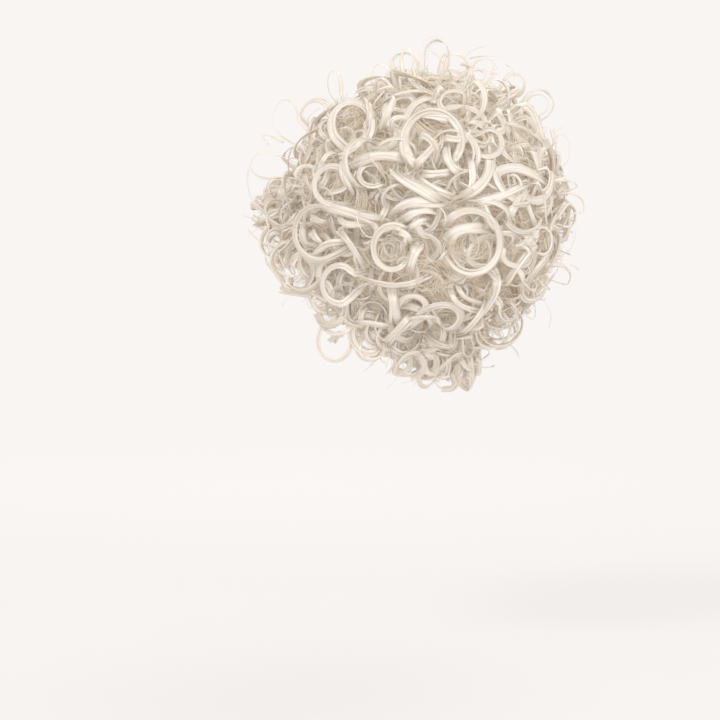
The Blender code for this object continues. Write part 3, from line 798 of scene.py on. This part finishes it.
def mass_material(name, dark, pale):
    """The matted inner hair: wavy fine fibres that cross, in both colour and relief, with painted shade
    in the gaps between them.
    """
    made = bpy.data.materials.new(name)
    made.use_nodes = True
    tree = made.node_tree
    links = tree.links
    shader = tree.nodes["Principled BSDF"]
    place = tree.nodes.new("ShaderNodeTexCoord")
    heights = []
    for turn, scale, bend in (
        ((0.4, 0.2, 0.9), (1300, 1300, 90), 60),
        ((1.1, 1.3, 0.2), (90, 1300, 1300), 75),
        ((0.2, 0.9, 1.6), (1300, 90, 1300), 90),
    ):
        waves = add_node(tree, "ShaderNodeTexNoise", Scale=bend, Detail=1.0)
        shift = tree.nodes.new("ShaderNodeVectorMath")
        shift.operation = "MULTIPLY_ADD"
        shift.inputs[1].default_value = (0.02, 0.02, 0.02)
        mapping = add_node(tree, "ShaderNodeMapping", Rotation=turn, Scale=scale)
        noise = add_node(tree, "ShaderNodeTexNoise", Scale=1.0, Detail=1.0)
        links.new(place.outputs["Object"], waves.inputs["Vector"])
        links.new(waves.outputs["Color"], shift.inputs[0])
        links.new(place.outputs["Object"], shift.inputs[2])
        links.new(shift.outputs["Vector"], mapping.inputs["Vector"])
        links.new(mapping.outputs["Vector"], noise.inputs["Vector"])
        heights.append(noise.outputs["Fac"])
    highest = heights[0]
    for height in heights[1:]:
        larger = tree.nodes.new("ShaderNodeMath")
        larger.operation = "MAXIMUM"
        links.new(highest, larger.inputs[0])
        links.new(height, larger.inputs[1])
        highest = larger.outputs["Value"]
    # Pale where a fibre lies on top, dark between the fibres: the dark end is painted shade in the gaps.
    ramp = tree.nodes.new("ShaderNodeValToRGB")
    ramp.color_ramp.elements[0].position = 0.55
    ramp.color_ramp.elements[0].color = (*dark, 1)
    ramp.color_ramp.elements[1].position = 0.7
    ramp.color_ramp.elements[1].color = (*pale, 1)
    links.new(highest, ramp.inputs["Fac"])
    links.new(ramp.outputs["Color"], shader.inputs["Base Color"])
    bump = add_node(tree, "ShaderNodeBump", Strength=0.8, Distance=0.8 * MM)
    links.new(highest, bump.inputs["Height"])
    links.new(bump.outputs["Normal"], shader.inputs["Normal"])
    shader.inputs["Roughness"].default_value = 0.6
    return made


def relief_material(name, dark, pale, roughness, depth, pattern):
    """A material whose pattern, made from the place on the object, gives both colour and relief."""
    made = bpy.data.materials.new(name)
    made.use_nodes = True
    tree = made.node_tree
    links = tree.links
    shader = tree.nodes["Principled BSDF"]
    place = tree.nodes.new("ShaderNodeTexCoord")
    turned = add_node(tree, "ShaderNodeMapping", Rotation=(LEAN_BACK, 0, 0))
    links.new(place.outputs["Object"], turned.inputs["Vector"])
    height = pattern(tree, turned.outputs["Vector"])
    ramp = tree.nodes.new("ShaderNodeValToRGB")
    ramp.color_ramp.elements[0].color = (*dark, 1)
    ramp.color_ramp.elements[1].color = (*pale, 1)
    links.new(height, ramp.inputs["Fac"])
    links.new(ramp.outputs["Color"], shader.inputs["Base Color"])
    bump = add_node(tree, "ShaderNodeBump", Strength=0.8, Distance=depth)
    links.new(height, bump.inputs["Height"])
    links.new(bump.outputs["Normal"], shader.inputs["Normal"])
    shader.inputs["Roughness"].default_value = roughness
    return made


def net_pattern(tree, place):
    """Two sets of fine yarns that cross, as in a stretch net; the low holes between them take the dark
    colour, painted shade.
    """
    yarns = []
    for turn in (0.8, -0.8):
        mapping = add_node(tree, "ShaderNodeMapping", Rotation=(0, 0, turn))
        wave = add_node(tree, "ShaderNodeTexWave", Scale=260.0, Distortion=1.5, Detail=1.0)
        tree.links.new(place, mapping.inputs["Vector"])
        tree.links.new(mapping.outputs["Vector"], wave.inputs["Vector"])
        yarns.append(wave.outputs["Fac"])
    larger = tree.nodes.new("ShaderNodeMath")
    larger.operation = "MAXIMUM"
    for socket, yarn in zip(larger.inputs, yarns):
        tree.links.new(yarn, socket)
    return larger.outputs["Value"]


def gathered_pattern(tree, place):
    """Gathers that cross the elastic all the way round; their creases take the dark colour, painted
    shade.
    """
    gradient = tree.nodes.new("ShaderNodeTexGradient")
    gradient.gradient_type = "RADIAL"
    tree.links.new(place, gradient.inputs["Vector"])
    noise = add_node(tree, "ShaderNodeTexNoise", Scale=90.0, Detail=2.0)
    tree.links.new(place, noise.inputs["Vector"])
    turns = tree.nodes.new("ShaderNodeMath")
    turns.operation = "MULTIPLY"
    turns.inputs[1].default_value = 2 * pi * 150
    tree.links.new(gradient.outputs["Fac"], turns.inputs[0])
    uneven = tree.nodes.new("ShaderNodeMath")
    uneven.operation = "MULTIPLY_ADD"
    uneven.inputs[1].default_value = 3
    tree.links.new(noise.outputs["Fac"], uneven.inputs[0])
    tree.links.new(turns.outputs["Value"], uneven.inputs[2])
    ribs = tree.nodes.new("ShaderNodeMath")
    ribs.operation = "SINE"
    tree.links.new(uneven.outputs["Value"], ribs.inputs[0])
    spread = add_node(tree, "ShaderNodeMapRange")
    spread.inputs["From Min"].default_value = -1
    tree.links.new(ribs.outputs["Value"], spread.inputs["Value"])
    return spread.outputs["Result"]


def combed_pattern(tree, place):
    """Hairs combed from the rim up to the cap, all the way round."""
    gradient = tree.nodes.new("ShaderNodeTexGradient")
    gradient.gradient_type = "RADIAL"
    parts = tree.nodes.new("ShaderNodeSeparateXYZ")
    joined = tree.nodes.new("ShaderNodeCombineXYZ")
    tree.links.new(place, gradient.inputs["Vector"])
    tree.links.new(place, parts.inputs["Vector"])
    tree.links.new(gradient.outputs["Fac"], joined.inputs["X"])
    tree.links.new(parts.outputs["Z"], joined.inputs["Y"])
    mapping = add_node(tree, "ShaderNodeMapping", Scale=(420, 22, 1))
    noise = add_node(tree, "ShaderNodeTexNoise", Scale=1.0, Detail=3.0, Roughness=0.65, Distortion=0.4)
    tree.links.new(joined.outputs["Vector"], mapping.inputs["Vector"])
    tree.links.new(mapping.outputs["Vector"], noise.inputs["Vector"])
    spread = add_node(tree, "ShaderNodeMapRange")
    spread.inputs["From Min"].default_value = 0.3
    spread.inputs["From Max"].default_value = 0.7
    tree.links.new(noise.outputs["Fac"], spread.inputs["Value"])
    return spread.outputs["Result"]


def moulded_pattern(tree, place):
    """Soft clouds and flow lines of moulded plastic."""
    noise = add_node(tree, "ShaderNodeTexNoise", Scale=160.0, Detail=4.0, Distortion=1.2)
    tree.links.new(place, noise.inputs["Vector"])
    return noise.outputs["Fac"]


def ball_ring(angle, reach, clearance):
    """Ring of the hair mass at an angle from the knot's axis, lumpy if it is outside."""
    lumps = 2.5 * np.sin(5 * TURNS + 7 * angle) * sin(6 * angle)
    lumps += 1.5 * np.sin(9 * TURNS - 11 * angle)
    reach = reach + (lumps * MM * min(1, angle * 2) if reach == MASS_RADIUS else 0)
    spokes = (LEVEL * sin(angle) + (0, 0, cos(angle))) @ SEAT.T
    return placed(spokes * np.reshape(reach, (-1, 1)), clearance)


def hem_ring(angle, clearance):
    """Ring of the hair mass at an angle from the seat's axis about the head's middle."""
    spokes = (LEVEL * sin(angle) + (0, 0, cos(angle))) * (HEAD_RADIUS + clearance)
    return ((spokes - HEAD_DROP) * HEAD_SHAPE) @ SEAT.T


def mass_mesh(name, top, bottom):
    """Thick shell of a tier's hair mass, lumpy outside and following cap and scalp inside."""
    ball_end = min(bottom, BALL_END)
    outside = np.radians(np.linspace(max(top, 0.5), ball_end, 12))
    rings = [ball_ring(angle, MASS_RADIUS, HEAD_CLEARANCE) for angle in outside]
    if bottom > BALL_END:
        for angle, clearance in HEM:
            rings.append(hem_ring(radians(angle), clearance * MM))
        for angle in np.linspace(HEM[-1][0], CAP_EDGE, 8)[1:]:
            rings.append(hem_ring(radians(angle), HEAD_CLEARANCE))
        outside = outside[:1]
    rings += [ball_ring(angle, INNER_RADIUS, HEAD_CLEARANCE) for angle in outside[::-1]]
    points = np.array(rings)
    count, around = points.shape[:2]
    index = np.arange(count)[:, None] * around
    step = np.arange(around)
    after = (step + 1) % around
    below = (np.arange(count)[:, None] + 1) % count * around
    quads = np.stack((index + step, below + step, below + after, index + after), -1).reshape(-1, 4)
    mesh = bpy.data.meshes.new(name)
    mesh.from_pydata(points.reshape(-1, 3).tolist(), [], quads.tolist())
    mesh.shade_smooth()
    return mesh


def make_hair():
    """Every piece of hair: curls and frizz of all tiers, and the inner mass with its lining."""
    ribbon = hair_material("ribbon_curl_hair", (0.58, 0.43, 0.26), (0.97, 0.873, 0.722), 0.28, 2.0)
    loose = hair_material("frizz_hair", (0.82, 0.61, 0.36), (0.98, 0.88, 0.68), 0.45, 0.8)
    # The dark colour of the inner hair is painted shade between its fibres.
    mass = mass_material("inner_hair", (0.42, 0.28, 0.15), (0.95, 0.82, 0.59))
    for name, strands in all_curls().items():
        tier = name.split("_")[0]
        add_piece(name, strand_mesh(name, strands), ribbon, "curls", f"{tier}_weft_curls")
    for tier, strands in frizz_strands().items():
        name = f"{tier}_frizz"
        add_piece(name, strand_mesh(name, strands), loose, "curls", f"{tier}_weft_curls")
    combed = relief_material(
        "combed_lining", (0.52, 0.37, 0.22), (0.98, 0.88, 0.7), 0.4, 0.4 * MM, combed_pattern
    )
    top = 0
    for name, bottom in TIERS:
        mesh = mass_mesh(name, top, bottom)
        add_piece(f"{name}_hair_mass", mesh, mass, "curls", f"{name}_weft_curls")
        top = bottom
    mesh.materials.append(combed)
    for face in mesh.polygons:
        off_middle = np.linalg.norm(to_scalp(np.array(face.center)))
        face.material_index = int(off_middle < HEAD_RADIUS + LINING_DEPTH)


def finish_nodes():
    """Materials of the pieces that are shown as they are."""
    # Darker between the yarns: painted shade in the net's holes.
    net = relief_material(
        "stretch_net", (0.42, 0.33, 0.23), (0.8, 0.71, 0.58), 0.85, 0.4 * MM, net_pattern
    )
    # Darker in the creases of the gathers: painted shade.
    band = relief_material(
        "gathered_elastic", (0.5, 0.41, 0.31), (0.84, 0.76, 0.64), 0.8, 0.5 * MM, gathered_pattern
    )
    plastic = relief_material(
        "comb_plastic", (0.2, 0.12, 0.06), (0.5, 0.34, 0.18), 0.32, 0.05 * MM, moulded_pattern
    )
    finishes = {"base_cap": net, "rim_elastic": band, "front_comb": plastic, "back_comb": plastic}
    for name, finish in finishes.items():
        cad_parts[name].data.materials.clear()
        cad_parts[name].data.materials.append(finish)


def add_area(name, place, size, power, colour=(1, 1, 1)):
    """A soft lamp that points at the knot's middle."""
    light = bpy.data.lights.new(name, "AREA")
    light.energy = power
    light.size = size
    light.color = colour
    lamp = bpy.data.objects.new(name, light)
    bpy.context.scene.collection.objects.link(lamp)
    lamp.location = place
    lamp.rotation_euler = (Vector(KNOT_MIDDLE) - lamp.location).to_track_quat("-Z", "Y").to_euler()


def floor_material():
    """Pale paper that fades into the backdrop away from the object."""
    made = bpy.data.materials.new("floor_paper")
    made.use_nodes = True
    tree = made.node_tree
    links = tree.links
    shader = tree.nodes["Principled BSDF"]
    shader.inputs["Base Color"].default_value = (0.57, 0.55, 0.54, 1)
    shader.inputs["Roughness"].default_value = 0.9
    place = tree.nodes.new("ShaderNodeTexCoord")
    mapping = add_node(tree, "ShaderNodeMapping", Scale=(0.6, 0.6, 0.6))
    fade = tree.nodes.new("ShaderNodeTexGradient")
    fade.gradient_type = "SPHERICAL"
    ramp = tree.nodes.new("ShaderNodeValToRGB")
    ramp.color_ramp.interpolation = "EASE"
    ramp.color_ramp.elements[0].position = 0.0
    ramp.color_ramp.elements[1].position = 0.7
    clear = tree.nodes.new("ShaderNodeBsdfTransparent")
    mix = tree.nodes.new("ShaderNodeMixShader")
    links.new(place.outputs["Object"], mapping.inputs["Vector"])
    links.new(mapping.outputs["Vector"], fade.inputs["Vector"])
    links.new(fade.outputs["Fac"], ramp.inputs["Fac"])
    links.new(ramp.outputs["Color"], mix.inputs[0])
    links.new(clear.outputs["BSDF"], mix.inputs[1])
    links.new(shader.outputs["BSDF"], mix.inputs[2])
    links.new(mix.outputs["Shader"], tree.nodes["Material Output"].inputs["Surface"])
    return made


def make_studio():
    """Pale floor, pale backdrop and soft lamps round the knot."""
    floor_height = KNOT_MIDDLE[2] - FLOOR_DROP
    bpy.ops.mesh.primitive_circle_add(
        vertices=96, radius=4, fill_type="NGON", location=(0, 0, floor_height)
    )
    floor = bpy.context.object
    floor.name = "studio_floor"
    floor.data.materials.append(floor_material())
    world = bpy.data.worlds.new("studio")
    bpy.context.scene.world = world
    world.use_nodes = True
    backdrop = world.node_tree.nodes["Background"]
    backdrop.inputs["Color"].default_value = (0.889, 0.829, 0.795, 1)
    backdrop.inputs["Strength"].default_value = 1.0
    add_area("key", KNOT_MIDDLE + OUT * 1.5 - RIGHT * 1.3 + UP * 1.9, 0.8, 22, (1, 0.99, 0.97))
    add_area("front", KNOT_MIDDLE + OUT * 2.3 + RIGHT * 0.3 + UP * 0.5, 2.4, 25)
    add_area("fill", KNOT_MIDDLE + OUT * 1.5 + RIGHT * 1.9 + UP * 0.3, 2.4, 19)
    add_area("rim", KNOT_MIDDLE - OUT * 1.3 + RIGHT * 0.6 + UP * 1.8, 1.2, 15)
    add_area("back", KNOT_MIDDLE - OUT * 2.2 - RIGHT * 0.5 + UP * 0.4, 1.6, 15)
    settings = bpy.context.scene.view_settings
    settings.view_transform = "Standard"
    settings.gamma = 2.1


def make_camera():
    """Camera of the show view, with the knot above and to the right of the picture's middle."""
    camera = bpy.data.cameras.new("camera")
    holder = bpy.data.objects.new("camera", camera)
    bpy.context.scene.collection.objects.link(holder)
    bpy.context.scene.camera = holder
    camera.lens = camera.sensor_width * CAMERA_DISTANCE / (PICTURE_STEPS * STEP)
    aim = KNOT_MIDDLE - RIGHT * AIM_RIGHT * STEP - UP * AIM_UP * STEP
    holder.location = aim + OUT * CAMERA_DISTANCE
    holder.rotation_euler = Vector(-OUT).to_track_quat("-Z", "Y").to_euler()


make_hair()
finish_nodes()
make_studio()
make_camera()
